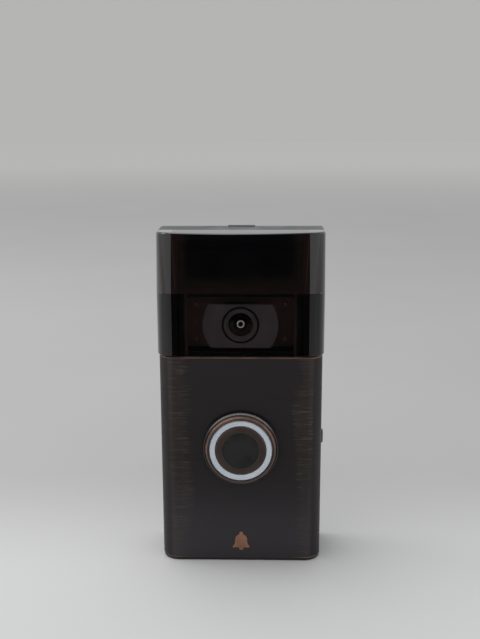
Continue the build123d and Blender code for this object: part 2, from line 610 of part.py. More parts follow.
# ---- Main board ----
with BuildPart() as main_circuit_board:
    with BuildSketch(at_depth(MAIN_BOARD_BACK)):
        with Locations((0, 97.7)):
            RectangleRounded(53.6, 49.4, 2)
        for side in (-1, 1):
            with Locations((side * HOUSING_SCREW_X, HOUSING_SCREW_Z[1])):
                Circle(3.1, mode=Mode.SUBTRACT)
            with Locations(*[(side * BOARD_SCREW_X, screw_z) for screw_z in BOARD_SCREW_Z]):
                Circle(0.95, mode=Mode.SUBTRACT)
    extrude(amount=MAIN_BOARD_BACK - MAIN_BOARD_FRONT)
finish(main_circuit_board, "main_circuit_board")

with BuildPart() as board_screws:
    for side in (-1, 1):
        for screw_z in BOARD_SCREW_Z:
            rod(side * BOARD_SCREW_X, screw_z, 1.6, MAIN_BOARD_FRONT, MAIN_BOARD_FRONT - 0.9)
            rod(side * BOARD_SCREW_X, screw_z, 0.75, -8, MAIN_BOARD_FRONT)
            cross_recess(side * BOARD_SCREW_X, screw_z, 1.0, 0.22, MAIN_BOARD_FRONT - 0.4,
                         MAIN_BOARD_FRONT - 1)
finish(board_screws, "board_screws")

with BuildPart() as processor_shield:
    block((-11, MAIN_BOARD_BACK, 97), (11, MAIN_BOARD_BACK + 1.6, 112))
    fillet(processor_shield.faces().sort_by(Axis.Y)[-1].edges(), 0.4)
    block((-10.7, MAIN_BOARD_BACK - 1, 97.3), (10.7, MAIN_BOARD_BACK + 1.3, 111.7),
          mode=Mode.SUBTRACT)
finish(processor_shield, "processor_shield")

with BuildPart() as wifi_antenna:
    block((-12.6, MAIN_BOARD_BACK, 118.4), (12.6, MAIN_BOARD_BACK + 0.3, 121.6))
finish(wifi_antenna, "wifi_antenna")

with BuildPart() as usb_port:
    with BuildSketch(at_depth(BACK_WALL_BACK - 0.3)):
        with Locations((0, USB_Z)):
            SlotOverall(9.0, 3.2)
            SlotOverall(8.3, 2.5, mode=Mode.SUBTRACT)
    extrude(amount=7)
    block((-3.4, -10.2, USB_Z - 0.35), (3.4, -4.6, USB_Z + 0.35))
    block((-4, MAIN_BOARD_BACK, USB_Z - 1.5), (4, -10.1, USB_Z + 1.5))
finish(usb_port, "usb_port")

# ---- Battery ----
BATTERY_LOW = 14.0
BATTERY_HIGH = 70.0
BATTERY_FRONT = -15.6
BATTERY_BACK = -6.4
with BuildPart() as battery_pack:
    block((-18.5, BATTERY_FRONT, BATTERY_LOW), (18.5, BATTERY_BACK, BATTERY_HIGH))
    fillet(battery_pack.edges().filter_by(Axis.Z), 3.0)
    chamfer(battery_pack.edges().group_by(Axis.Z)[-1] + battery_pack.edges().group_by(Axis.Z)[0], 0.6)
finish(battery_pack, "battery_pack")

with BuildPart() as battery_pads:
    for pad_x in (-10, 10):
        block((pad_x - 4, BATTERY_BACK, 20), (pad_x + 4, BACK_WALL_FRONT, 56))
finish(battery_pads, "battery_pads")

with BuildPart() as battery_connector:
    block((5, -15.0, 75), (12, MAIN_BOARD_FRONT, 79))
    block((5.6, -15.1, 76.6), (11.4, -14.2, 79.1), mode=Mode.SUBTRACT)
finish(battery_connector, "battery_connector")

with BuildPart() as battery_cable:
    for wire_x in (6.6, 8.5, 10.4):
        with BuildLine() as wire_path:
            FilletPolyline((wire_x, -12.6, BATTERY_HIGH), (wire_x, -12.6, 71.4), (wire_x, -13.8, 73.4),
                           (wire_x, -13.8, 75.0), radius=1.2)
        with BuildSketch(Plane.XY.offset(BATTERY_HIGH)):
            with Locations((wire_x, -12.6)):
                Circle(0.6)
        sweep(path=wire_path.line)
finish(battery_cable, "battery_cable")

# ---- Speaker and microphone ----
SPEAKER_Z = 17.0
LOWER_DECK_INSIDE = LOWER_DECK + CHASSIS_WALL
with BuildPart() as speaker_gasket:
    tube(0, SPEAKER_Z, 10.2, 8.6, LOWER_DECK_INSIDE + 0.6, LOWER_DECK_INSIDE)
finish(speaker_gasket, "speaker_gasket")

with BuildPart() as speaker_driver:
    add(turned([(0, -16.2), (5.5, -16.2), (5.5, -18.2), (9.0, -18.9), (10.0, -18.9), (10.0, -21.6),
                (9.2, -21.6), (8.4, -21.0), (7.4, -21.5), (3.2, -20.2), (0, -20.9)], 0, SPEAKER_Z))
finish(speaker_driver, "speaker_driver")

with BuildPart() as microphone_seal:
    pin(MICROPHONE_X, PORT_Y, 1.6, FLOOR, 3.0)
    pin(MICROPHONE_X, PORT_Y, 0.6, FLOOR - 1, 4.0, mode=Mode.SUBTRACT)
finish(microphone_seal, "microphone_seal")

with BuildPart() as microphone:
    block((MICROPHONE_X - 2, PORT_Y - 1.5, 3.0), (MICROPHONE_X + 2, PORT_Y + 1.5, 4.1))
    pin(MICROPHONE_X, PORT_Y, 0.4, 2.5, 3.5, mode=Mode.SUBTRACT)
finish(microphone, "microphone")

# ---- Front button ----
BEZEL_FRONT = -28.0
BEZEL_ROUND_DEPTH = 1.5
BEZEL_ROUND_STEPS = 8
with BuildPart() as button_bezel:
    bezel_back = LOWER_DECK_INSIDE + 1
    bezel_inner = LIGHT_OUTER + 0.1
    # The front falls away from the light ring to the collar in a quarter of an ellipse.
    rounded_front = []
    for step in range(BEZEL_ROUND_STEPS + 1):
        angle = math.pi / 2 * step / BEZEL_ROUND_STEPS
        rounded_front.append((bezel_inner + (BEZEL_RADIUS - bezel_inner) * math.cos(angle),
                              BEZEL_FRONT + BEZEL_ROUND_DEPTH * (1 - math.sin(angle))))
    add(turned([(bezel_inner, bezel_back), (15.0, bezel_back), (15.0, LOWER_DECK_INSIDE),
                (BEZEL_RADIUS, LOWER_DECK_INSIDE), *rounded_front], 0, BUTTON_Z))
finish(button_bezel, "button_bezel")

with BuildPart() as light_ring:
    ring_front = BEZEL_FRONT + 0.2
    add(turned([(LIGHT_INNER, -20.2), (13.8, -20.2), (13.8, -21.2), (LIGHT_OUTER, -21.2),
                (LIGHT_OUTER, ring_front + 0.3), (LIGHT_OUTER - 0.3, ring_front),
                (LIGHT_INNER + 0.3, ring_front), (LIGHT_INNER, ring_front + 0.3)], 0, BUTTON_Z))
finish(light_ring, "light_ring")

FLANGE_RADIUS = 10.5
with BuildPart() as button_cap:
    cap_front = BEZEL_FRONT + 0.3
    add(turned([(CENTRE_RADIUS, -26.2), (CENTRE_RADIUS, cap_front + 0.1), (CENTRE_RADIUS + 0.15, cap_front),
                (CAP_RADIUS - 0.35, cap_front), (CAP_RADIUS, cap_front + 0.3), (CAP_RADIUS, -20.0),
                (FLANGE_RADIUS, -20.0), (FLANGE_RADIUS, -19.4), (CAP_RADIUS - 1.4, -19.4),
                (CAP_RADIUS - 1.4, -24.6), (2.0, -24.6), (2.0, -20.6), (0, -20.6), (0, -26.2)],
               0, BUTTON_Z))
finish(button_cap, "button_cap")

with BuildPart() as button_centre:
    with BuildSketch(Plane.XY):
        centre_edge = CENTRE_RADIUS - 0.04
        with BuildLine():
            Line((0, -26.2), (centre_edge, -26.2))
            Line((centre_edge, -26.2), (centre_edge, -27.45))
            dome_arc(centre_edge, -27.45, -27.04)
            Line((0, -27.04), (0, -26.2))
        make_face()
    revolve(axis=Axis.Y)
button_centre.part.location = Location((0, 0, BUTTON_Z))
finish(button_centre, "button_centre")

with BuildPart() as button_pad:
    rod(0, BUTTON_Z, 3.0, -20.05, -21.2)
    rod(0, BUTTON_Z, 2.0, -20.6, -22, mode=Mode.SUBTRACT)
finish(button_pad, "button_pad")

SWITCH_FRONT = -19.1
with BuildPart() as button_switch:
    block((-2.3, SWITCH_FRONT + 0.4, BUTTON_Z - 2.3), (2.3, RING_BOARD_FRONT, BUTTON_Z + 2.3))
    rod(0, BUTTON_Z, 1.4, SWITCH_FRONT + 0.5, SWITCH_FRONT)
finish(button_switch, "button_switch")

with BuildPart() as ring_light_board:
    with BuildSketch(at_depth(RING_BOARD_FRONT + 1)):
        with Locations((0, BUTTON_Z)):
            Circle(15.5)
            Rectangle(39.4, 5)
        with Locations((-POST_X["ring"], BUTTON_Z), (POST_X["ring"], BUTTON_Z)):
            Circle(0.85, mode=Mode.SUBTRACT)
    extrude(amount=1)
finish(ring_light_board, "ring_light_board")

LED_COUNT = 12
LED_RING_RADIUS = 12.6
with BuildPart() as ring_leds:
    for index in range(LED_COUNT):
        angle = 2 * math.pi * (index + 0.5) / LED_COUNT
        led_x = LED_RING_RADIUS * math.sin(angle)
        led_z = BUTTON_Z + LED_RING_RADIUS * math.cos(angle)
        block((led_x - 0.8, RING_BOARD_FRONT - 0.8, led_z - 0.8),
              (led_x + 0.8, RING_BOARD_FRONT, led_z + 0.8))
finish(ring_leds, "ring_leds")

# ---- Setup button ----
SETUP_PROUD_X = 31.75
SETUP_POST_X = 26.1
with BuildPart() as setup_button:
    with BuildSketch(Plane.YZ.offset(CAVITY_HALF_WIDTH - 0.2)):
        with Locations((SETUP_Y, SETUP_Z)):
            SlotOverall(5.6, 3.2, rotation=90)
    extrude(amount=SETUP_PROUD_X - CAVITY_HALF_WIDTH + 0.2)
    fillet(setup_button.faces().sort_by(Axis.X)[-1].edges(), 0.5)
    block((CAVITY_HALF_WIDTH - 0.8, SETUP_Y - 2.6, SETUP_Z - 3.6),
          (CAVITY_HALF_WIDTH - 0.1, SETUP_Y + 2.6, SETUP_Z + 3.6))
    with Locations(Location(((SETUP_POST_X + CAVITY_HALF_WIDTH) / 2, SETUP_Y, SETUP_Z), (0, 90, 0))):
        Cylinder(0.9, CAVITY_HALF_WIDTH - SETUP_POST_X)
finish(setup_button, "setup_button")

SWITCH_FACE_X = 25.4
with BuildPart() as setup_switch:
    block((22.4, SETUP_Y - 2.2, SETUP_Z - 2.2), (SWITCH_FACE_X - 0.5, SETUP_Y + 2.2, SETUP_Z + 2.2))
    with Locations(Location((SWITCH_FACE_X - 0.5, SETUP_Y, SETUP_Z), (0, 90, 0))):
        Cylinder(1.2, 1.0)
finish(setup_switch, "setup_switch")

with BuildPart() as setup_switch_board:
    block((21.4, -12.4, 40), (22.4, BACK_WALL_FRONT, 51))
finish(setup_switch_board, "setup_switch_board")

# ---- Case screws, driven from the back into the chassis ----
with BuildPart() as housing_screws:
    for side in (-1, 1):
        for screw_z in HOUSING_SCREW_Z:
            centre_x = side * HOUSING_SCREW_X
            head_front = BACK_WALL_BACK - 1.3
            rod(centre_x, screw_z, 1.95, head_front + 1.1, head_front)
            rod(centre_x, screw_z, 0.85, head_front, -17.5)
            cross_recess(centre_x, screw_z, 1.2, 0.25, head_front + 1.2, head_front + 0.6)
finish(housing_screws, "housing_screws")

# ---- Wire terminals on the back ----
with BuildPart() as terminal_plates:
    for side in (-1, 1):
        centre_x = side * TERMINAL_X
        block((centre_x - 4, BACK_WALL_BACK, TERMINAL_Z - 4),
              (centre_x + 4, BACK_WALL_BACK + 0.6, TERMINAL_Z + 4))
        rod(centre_x, TERMINAL_Z, 1.35, 0, -6, mode=Mode.SUBTRACT)
finish(terminal_plates, "terminal_plates")

with BuildPart() as terminal_screws:
    for side in (-1, 1):
        centre_x = side * TERMINAL_X
        head_front = BACK_WALL_BACK + 0.6
        rod(centre_x, TERMINAL_Z, 2.8, head_front + 1.3, head_front)
        rod(centre_x, TERMINAL_Z, 1.3, head_front, -6.3)
        block((centre_x - 2.2, head_front + 0.7, TERMINAL_Z - 0.35),
              (centre_x + 2.2, head_front + 1.4, TERMINAL_Z + 0.35), mode=Mode.SUBTRACT)
finish(terminal_screws, "terminal_screws")
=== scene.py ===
import math

import bpy
from mathutils import Matrix, Vector


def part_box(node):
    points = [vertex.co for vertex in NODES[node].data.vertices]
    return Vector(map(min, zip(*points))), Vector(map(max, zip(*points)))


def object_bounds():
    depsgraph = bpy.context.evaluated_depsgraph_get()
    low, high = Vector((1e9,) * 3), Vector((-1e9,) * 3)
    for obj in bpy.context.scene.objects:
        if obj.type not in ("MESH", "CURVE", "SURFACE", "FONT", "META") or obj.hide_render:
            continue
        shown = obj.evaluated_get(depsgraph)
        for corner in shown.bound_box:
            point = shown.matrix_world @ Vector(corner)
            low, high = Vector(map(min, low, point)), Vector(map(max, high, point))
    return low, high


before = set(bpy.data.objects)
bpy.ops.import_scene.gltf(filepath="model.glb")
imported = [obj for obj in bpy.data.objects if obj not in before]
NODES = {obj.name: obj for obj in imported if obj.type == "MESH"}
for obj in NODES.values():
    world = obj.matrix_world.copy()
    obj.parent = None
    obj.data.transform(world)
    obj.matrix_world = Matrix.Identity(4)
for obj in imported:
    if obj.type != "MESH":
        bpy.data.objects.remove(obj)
cad_low, cad_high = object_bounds()


def middle(name):
    """Centre of a CAD node's box."""
    low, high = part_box(name)
    return (low + high) / 2


MM = 0.001
FACE_LOW, FACE_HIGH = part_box("faceplate")
FACE_HALF_WIDTH = (FACE_HIGH.x - FACE_LOW.x) / 2
COVER_LOW, COVER_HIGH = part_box("motion_sensor_cover")
BUTTON_CENTRE = middle("button_bezel")
LENS_CENTRE = middle("lens_ring")


# ---- Camera ----
CAMERA_PLACE = Vector((8.22, -339.28, 166.95)) * MM
CAMERA_YAW = math.radians(-1.523)
CAMERA_PITCH = math.radians(12.775)
CAMERA_ROLL = math.radians(0.209)
CAMERA_LENS = 49.97
SENSOR_WIDTH = 36.0
CLIP_START = 0.01
CLIP_END = 50.0


def make_camera():
    """Camera a third of a metre in front of the doorbell, looking a little down at it."""
    data = bpy.data.cameras.new("camera")
    data.lens = CAMERA_LENS
    data.sensor_width = SENSOR_WIDTH
    data.clip_start = CLIP_START
    data.clip_end = CLIP_END
    camera = bpy.data.objects.new("camera", data)
    forward = Vector((math.sin(CAMERA_YAW) * math.cos(CAMERA_PITCH),
                      math.cos(CAMERA_YAW) * math.cos(CAMERA_PITCH),
                      -math.sin(CAMERA_PITCH)))
    level = Vector((math.cos(CAMERA_YAW), -math.sin(CAMERA_YAW), 0))
    down = forward.cross(level)
    right = level * math.cos(CAMERA_ROLL) + down * math.sin(CAMERA_ROLL)
    up = level * math.sin(CAMERA_ROLL) - down * math.cos(CAMERA_ROLL)
    turn = Matrix((right, up, -forward)).transposed().to_4x4()
    camera.matrix_world = Matrix.Translation(CAMERA_PLACE) @ turn
    bpy.context.scene.collection.objects.link(camera)
    bpy.context.scene.camera = camera


# ---- Node helpers ----
NOISE_LOW = 0.3
NOISE_HIGH = 0.7


class Shader:
    """A node material with its principled shader, and short calls for the nodes used here."""

    def __init__(self, name):
        self.material = bpy.data.materials.new(name)
        self.material.use_nodes = True
        self.tree = self.material.node_tree
        self.bsdf = self.tree.nodes["Principled BSDF"]

    def set(self, **values):
        """Sets sockets of the principled shader: underscores in a name stand for spaces."""
        for name, value in values.items():
            socket = self.bsdf.inputs[name.replace("_", " ")]
            if isinstance(value, bpy.types.NodeSocket):
                self.tree.links.new(value, socket)
            elif socket.type == "RGBA":
                socket.default_value = (*value, 1.0)
            else:
                socket.default_value = value

    def add(self, kind, **settings):
        """Adds a node and sets its properties."""
        node = self.tree.nodes.new(kind)
        for name, value in settings.items():
            setattr(node, name, value)
        return node

    def place(self, scale=(1, 1, 1), shift=(0, 0, 0)):
        """Object coordinates, shifted in metres and then scaled."""
        coords = self.add("ShaderNodeTexCoord")
        moved = self.add("ShaderNodeVectorMath", operation="SUBTRACT")
        self.tree.links.new(coords.outputs["Object"], moved.inputs[0])
        moved.inputs[1].default_value = shift
        scaled = self.add("ShaderNodeVectorMath", operation="MULTIPLY")
        self.tree.links.new(moved.outputs[0], scaled.inputs[0])
        scaled.inputs[1].default_value = scale
        return scaled.outputs[0]

    def split(self, vector):
        """The X, Y and Z outputs of a vector."""
        node = self.add("ShaderNodeSeparateXYZ")
        self.tree.links.new(vector, node.inputs[0])
        return node.outputs

    def height(self, shift=(0, 0, 0)):
        """Z of a point, counted from the shift, in metres."""
        return self.split(self.place(shift=shift))["Z"]

    def across(self):
        """Distance to the left or right of the middle, in metres."""
        return self.math("ABSOLUTE", self.split(self.place())["X"])

    def length_of(self, vector):
        node = self.add("ShaderNodeVectorMath", operation="LENGTH")
        self.tree.links.new(vector, node.inputs[0])
        return node.outputs["Value"]

    def radius_from(self, centre):
        """Distance from a centre in the plane of the front, in metres."""
        return self.length_of(self.place((1, 0, 1), centre))

    def noise(self, vector, scale=1.0, detail=2.0, roughness=0.5, distortion=0.0):
        node = self.add("ShaderNodeTexNoise")
        self.tree.links.new(vector, node.inputs["Vector"])
        node.inputs["Scale"].default_value = scale
        node.inputs["Detail"].default_value = detail
        node.inputs["Roughness"].default_value = roughness
        node.inputs["Distortion"].default_value = distortion
        return node.outputs["Fac"]

    def math(self, operation, first, second=None):
        node = self.add("ShaderNodeMath", operation=operation)
        for index, value in enumerate((first, second)):
            if isinstance(value, bpy.types.NodeSocket):
                self.tree.links.new(value, node.inputs[index])
            elif value is not None:
                node.inputs[index].default_value = value
        return node.outputs[0]

    def product(self, first, *others):
        """Product of sockets and numbers."""
        result = first
        for factor in others:
            result = self.math("MULTIPLY", result, factor)
        return result

    def span(self, value, from_low, from_high, to_low=0.0, to_high=1.0):
        """Smooth step of a value between two limits."""
        node = self.add("ShaderNodeMapRange", interpolation_type="SMOOTHSTEP")
        self.tree.links.new(value, node.inputs["Value"])
        node.inputs["From Min"].default_value = from_low
        node.inputs["From Max"].default_value = from_high
        node.inputs["To Min"].default_value = to_low
        node.inputs["To Max"].default_value = to_high
        return node.outputs["Result"]

    def vary(self, noise, low=0.0, high=1.0):
        """Spreads the usual values of a noise over a range."""
        return self.span(noise, NOISE_LOW, NOISE_HIGH, low, high)

    def mix(self, factor, first, second):
        """Colour mix. Each colour is a socket or three numbers."""
        node = self.add("ShaderNodeMix", data_type="RGBA")
        self.tree.links.new(factor, node.inputs["Factor"])
        for socket, value in ((node.inputs[6], first), (node.inputs[7], second)):
            if isinstance(value, bpy.types.NodeSocket):
                self.tree.links.new(value, socket)
            else:
                socket.default_value = (*value, 1.0)
        return node.outputs[2]

    def bump(self, height, depth, strength=1.0):
        """Bump of a height field, depth in metres."""
        node = self.add("ShaderNodeBump")
        node.inputs["Strength"].default_value = strength
        node.inputs["Distance"].default_value = depth
        self.tree.links.new(height, node.inputs["Height"])
        self.set(Normal=node.outputs[0])


def toned(color, factor, lift=0.0):
    """A colour made lighter or darker, up to white."""
    return tuple(min(1.0, channel * factor + lift) for channel in color)


def wear(s, scale=90.0):
    """Slow uneven patches, from 0 to 1."""
    return s.vary(s.noise(s.place(), scale, detail=4, roughness=0.6))


# ---- Bronze ----
LOW_BRONZE = (0.046, 0.042, 0.046)
DARK_BRONZE = (0.062, 0.055, 0.055)
CORNER_BRONZE = (0.030, 0.026, 0.026)
WARM_BRONZE = (0.092, 0.076, 0.070)
STREAK = (0.235, 0.190, 0.165)
COPPER = (0.38, 0.22, 0.165)
# painted highlight and painted shade round the button's collar
COLLAR_PAINTED_HIGHLIGHT = (0.42, 0.41, 0.40)
COLLAR_PAINTED_SHADE = (0.008, 0.007, 0.007)
BRONZE_METALLIC = 0.6
LOW_TONE_HEIGHT = 5.0 * MM
DARK_TONE_HEIGHT = 75.0 * MM
TOOL_MARK_DEPTH = 0.010 * MM
TURNED_RINGS_PER_METRE = 4200.0
# painted highlight: copper over the upper part of the button's bezel and cap
UPPER_HIGHLIGHT_START = 6.0 * MM
UPPER_HIGHLIGHT_FULL = 12.0 * MM


def from_side(s, across, start, end, to_low=0.0, to_high=1.0):
    """Mask by the distance in from the faceplate's side edges."""
    return s.span(across, FACE_HALF_WIDTH - start, FACE_HALF_WIDTH - end, to_low, to_high)


def side_wear(s, across, z, grain, streak):
    """Masks of brushed bronze and of copper streaks, near the two sides and fading downwards."""
    streak_reach = 7.0 * MM
    patch_reach = 16.0 * MM
    fade_reach = 30.0 * MM
    fade_from = 80.0 * MM
    fade_to = 35.0 * MM
    patch = s.noise(s.place((70, 70, 38)))
    uneven = s.math("ADD", s.product(s.math("SUBTRACT", streak, 0.5), streak_reach),
                    s.product(s.math("SUBTRACT", patch, 0.5), patch_reach))
    inner = from_side(s, s.math("ADD", across, uneven), 9.6 * MM, 6.6 * MM)
    outer = from_side(s, across, 4.6 * MM, 2.8 * MM, 1.0, 0.1)
    fade = s.span(s.math("ADD", z, s.product(patch, fade_reach)), fade_to, fade_from, 0.25, 1.0)
    side = s.product(inner, outer, fade)
    brushed = s.product(side, s.span(grain, 0.35, 0.7, 0.45, 1.0))
    density = s.product(side, s.span(patch, 0.35, 0.65, 0.25, 1.0))
    rubbed = s.product(s.span(streak, 0.54, 0.64), density)
    return brushed, rubbed


def rim_copper_and_highlight(s, across, z):
    """Mask of copper on the upper rim, and on the lower rim mostly at its corners: the bronze's copper
    edge, brightened as a painted highlight on the rounded rims.
    """
    rim_start = 0.55 * MM
    rim_full = 0.2 * MM
    top = s.span(z, FACE_HIGH.z - rim_start, FACE_HIGH.z - rim_full)
    low = s.span(z, FACE_LOW.z + rim_start, FACE_LOW.z + rim_full)
    corner = from_side(s, across, 12.0 * MM, 4.0 * MM, 0.12, 1.0)
    rims = s.math("MAXIMUM", s.product(top, 0.8), s.product(low, corner))
    uneven = s.span(s.noise(s.place((150, 150, 0)), detail=3), 0.35, 0.6, 0.5, 1.0)
    return s.product(rims, uneven)


def collar_masks(s, y, z):
    """Masks of a painted highlight on the upper part of the raised collar, and of a painted shade in the
    dark arc just above it.
    """
    step = 1.0 * MM
    bore_radius = 13.5 * MM
    blur = 0.1 * MM
    arc_radius = 15.1 * MM
    arc_blur = 0.5 * MM
    upper_start = BUTTON_CENTRE.z + 5.0 * MM
    upper_full = BUTTON_CENTRE.z + 12.5 * MM
    radius = s.radius_from(BUTTON_CENTRE)
    proud = s.span(y, FACE_LOW.y + step + blur, FACE_LOW.y + step - blur)
    upper = s.span(z, upper_start, upper_full, 0.05, 1.0)
    # painted highlight: light grey on the upper part of the collar, where light from above falls
    light = s.product(proud, upper, s.span(radius, bore_radius - blur, bore_radius + blur))
    around = s.span(radius, arc_radius + arc_blur, arc_radius - arc_blur)
    # painted shade: a dark arc on the faceplate just above the collar
    painted_shade = s.product(around, s.math("SUBTRACT", 1.0, proud), upper, 0.75)
    return light, painted_shade


def faceplate_bronze():
    """Dark bronze brushed across, with copper rubbed through near its side edges, and copper along its end
    rims brightened as a painted highlight.
    """
    s = Shader("faceplate_bronze")
    x, y, z = s.split(s.place())
    across = s.math("ABSOLUTE", x)
    grain = s.noise(s.place((60, 60, 2600)), detail=4, roughness=0.6)
    streak = s.noise(s.place((110, 110, 2000)), detail=4, roughness=0.72, distortion=0.3)
    brushed, rubbed = side_wear(s, across, z, grain, streak)
    light, painted_shade = collar_masks(s, y, z)
    body = s.mix(s.span(z, LOW_TONE_HEIGHT, DARK_TONE_HEIGHT), LOW_BRONZE, DARK_BRONZE)
    body = s.mix(from_side(s, across, 5.0 * MM, 3.0 * MM), body, CORNER_BRONZE)
    body = s.mix(brushed, body, WARM_BRONZE)
    body = s.mix(s.product(rubbed, 0.6), body, STREAK)
    # painted highlight on the collar, then painted shade just above it
    body = s.mix(light, body, COLLAR_PAINTED_HIGHLIGHT)
    body = s.mix(painted_shade, body, COLLAR_PAINTED_SHADE)
    # copper rims, brightened as a painted highlight
    body = s.mix(rim_copper_and_highlight(s, across, z), body, COPPER)
    s.set(Base_Color=body, Metallic=BRONZE_METALLIC, Anisotropic=0.3, Roughness=s.vary(grain, 0.36, 0.48))
    s.bump(s.math("ADD", grain, s.product(streak, 0.7)), TOOL_MARK_DEPTH, 0.5)
    return s.material


def turned_bronze(name, copper_from, copper_to, copper_amount):
    """Bronze with fine turned rings round the button, copper at its rim, and copper painted over its upper
    part as a highlight from the light above.
    """
    s = Shader(name)
    radius = s.radius_from(BUTTON_CENTRE)
    rings = s.add("ShaderNodeTexNoise", noise_dimensions="1D")
    s.tree.links.new(s.product(radius, TURNED_RINGS_PER_METRE), rings.inputs["W"])
    rings.inputs["Detail"].default_value = 2.0
    ring_mark = rings.outputs["Fac"]
    patch = s.noise(s.place((160, 160, 160)), detail=3, roughness=0.6)
    # painted highlight: copper in the upper part, where light from above falls; the rim copper is the
    # part's own
    upper = s.span(s.height(BUTTON_CENTRE), UPPER_HIGHLIGHT_START, UPPER_HIGHLIGHT_FULL, 0.0, 0.7)
    copper_and_highlight = s.math("MAXIMUM", s.span(radius, copper_from, copper_to), upper)
    copper_and_highlight = s.product(copper_and_highlight, s.span(patch, 0.35, 0.62, copper_amount * 0.45, copper_amount))
    s.set(Base_Color=s.mix(copper_and_highlight, WARM_BRONZE, COPPER), Metallic=BRONZE_METALLIC, Anisotropic=0.2)
    s.set(Roughness=s.vary(ring_mark, 0.30, 0.45))
    s.bump(ring_mark, TOOL_MARK_DEPTH, 0.5)
    return s.material


# ---- Glossy parts and the camera ----
WINDOW_TINT = (0.003, 0.002, 0.002)
COVER_TINT = (0.0025, 0.0028, 0.0036)
COVER_LOW_TINT = (0.0125, 0.0080, 0.0070)
# colour of a painted glint on the cover
PAINTED_GLINT_RED = (0.030, 0.014, 0.013)
# painted shade along the groove round the lens ring
GROOVE_PAINTED_SHADE = (0.002, 0.002, 0.002)
FACET_START = 25.1 * MM
FACET_SLOPE = -0.3
SIDE_BORDER_START = 22.0 * MM
SIDE_BORDER_FULL = 23.4 * MM
TOP_BORDER_START = COVER_HIGH.z - 3.4 * MM
TOP_BORDER_FULL = COVER_HIGH.z - 2.4 * MM
LOW_TINT_START = COVER_HIGH.z - 6.4 * MM
LOW_TINT_FULL = COVER_HIGH.z - 14.9 * MM
FLANK_START = 17.8 * MM
FLANK_FULL = 21.6 * MM
# place of the painted glint: a thin reddish line leaning up the cover near its corners
GLINT_END = COVER_HIGH.z - 20.4 * MM
GLINT_FULL = COVER_HIGH.z - 18.4 * MM
GLINT_AT_BASE = 17.2 * MM
GLINT_LEAN = 0.06
GLINT_CORE = 0.08 * MM
GLINT_EDGE = 0.32 * MM


def smoked(name, alpha, tint, low_tint, ior):
    """Polished smoked plastic: see-through in the middle, masked black behind its borders."""
    cloud_reach = 12.0 * MM
    s = Shader(name)
    across = s.across()
    z = s.height()
    haze = s.noise(s.place((35, 35, 35)), detail=3)
    cloud = s.noise(s.place((45, 45, 70)))
    uneven = s.math("ADD", z, s.product(cloud, cloud_reach))
    low = s.span(uneven, LOW_TINT_START, LOW_TINT_FULL)
    on_cover = s.span(z, COVER_LOW.z, COVER_LOW.z + MM)
    flank = s.product(s.span(across, FLANK_START, FLANK_FULL), on_cover, 0.8)
    color = s.mix(s.math("MAXIMUM", low, flank), tint, low_tint)

    # painted glint: a thin reddish reflection line near the cover's corners
    glint_place = s.math("ADD", s.product(z, GLINT_LEAN), GLINT_AT_BASE)
    off_glint = s.math("ABSOLUTE", s.math("SUBTRACT", across, glint_place))
    painted_glint = s.product(s.span(off_glint, GLINT_EDGE, GLINT_CORE), s.span(z, GLINT_END, GLINT_FULL), 0.8)
    s.set(Base_Color=s.mix(painted_glint, color, PAINTED_GLINT_RED), IOR=ior, Roughness=s.span(haze, 0.35, 0.7, 0.008, 0.022))

    side_border = s.span(across, SIDE_BORDER_START, SIDE_BORDER_FULL)
    top_border = s.span(z, TOP_BORDER_START, TOP_BORDER_FULL)
    border = s.math("MAXIMUM", side_border, top_border)
    s.set(Alpha=s.span(border, 0.0, 1.0, alpha, 1.0))
    s.bump(s.product(s.math("MAXIMUM", across, FACET_START), FACET_SLOPE), 1.0)
    return s.material


def lens_glass():
    """Front lens: dark, coated, strongly polished."""
    middle_tone = (0.060, 0.029, 0.024)
    rim_tone = (0.115, 0.064, 0.054)
    upper_tone = (0.012, 0.006, 0.006)
    s = Shader("lens_glass")
    radius = s.radius_from(LENS_CENTRE)
    color = s.mix(s.span(radius, 1.6 * MM, 4.2 * MM), middle_tone, rim_tone)
    color = s.mix(s.span(s.height(LENS_CENTRE), 1.5 * MM, -2.0 * MM), upper_tone, color)
    s.set(Base_Color=color, Roughness=0.03, IOR=1.7)
    s.set(Alpha=s.span(radius, 1.5 * MM, 2.6 * MM, 0.10, 0.6))
    return s.material


def lens_stop_ring():
    """Blackened stop plate behind the front lens, with a painted highlight ring that is white and glows
    though it is no lamp.
    """
    highlight_inside = 1.06 * MM
    highlight_outside = 1.35 * MM
    s = Shader("lens_stop_ring")
    radius = s.radius_from(LENS_CENTRE)
    # painted highlight: a thin ring inside the lens
    painted_highlight = s.product(s.span(radius, highlight_outside + 0.1 * MM, highlight_outside - 0.1 * MM),
                    s.span(radius, highlight_inside - 0.02 * MM, highlight_inside + 0.02 * MM))
    turning = s.noise(s.place((900, 900, 900)))
    dark = s.mix(turning, (0.016, 0.011, 0.010), (0.030, 0.020, 0.018))
    s.set(Base_Color=s.mix(painted_highlight, dark, (0.97, 0.96, 0.96)), Roughness=0.4)
    # painted highlight: the ring glows white though it is no lamp
    s.set(Emission_Color=(1.0, 0.97, 0.95), Emission_Strength=s.product(painted_highlight, 0.55))
    s.bump(turning, 0.01 * MM, 0.5)
    return s.material


# ---- Moulded plastic ----
GRAIN_DEPTH = 0.012 * MM
FINE_GRAIN_DEPTH = 0.006 * MM


def grained(s, color, lighter, rough, grain=2600.0, depth=GRAIN_DEPTH):
    """Spark-eroded grain and slow gloss changes. Gives the plain colour with its lighter patches."""
    dust = wear(s)
    s.set(Roughness=s.span(dust, 0, 1, rough - 0.06, rough + 0.08))
    s.bump(s.noise(s.place(), grain, roughness=0.6), depth, 0.7)
    return s.mix(dust, color, lighter)


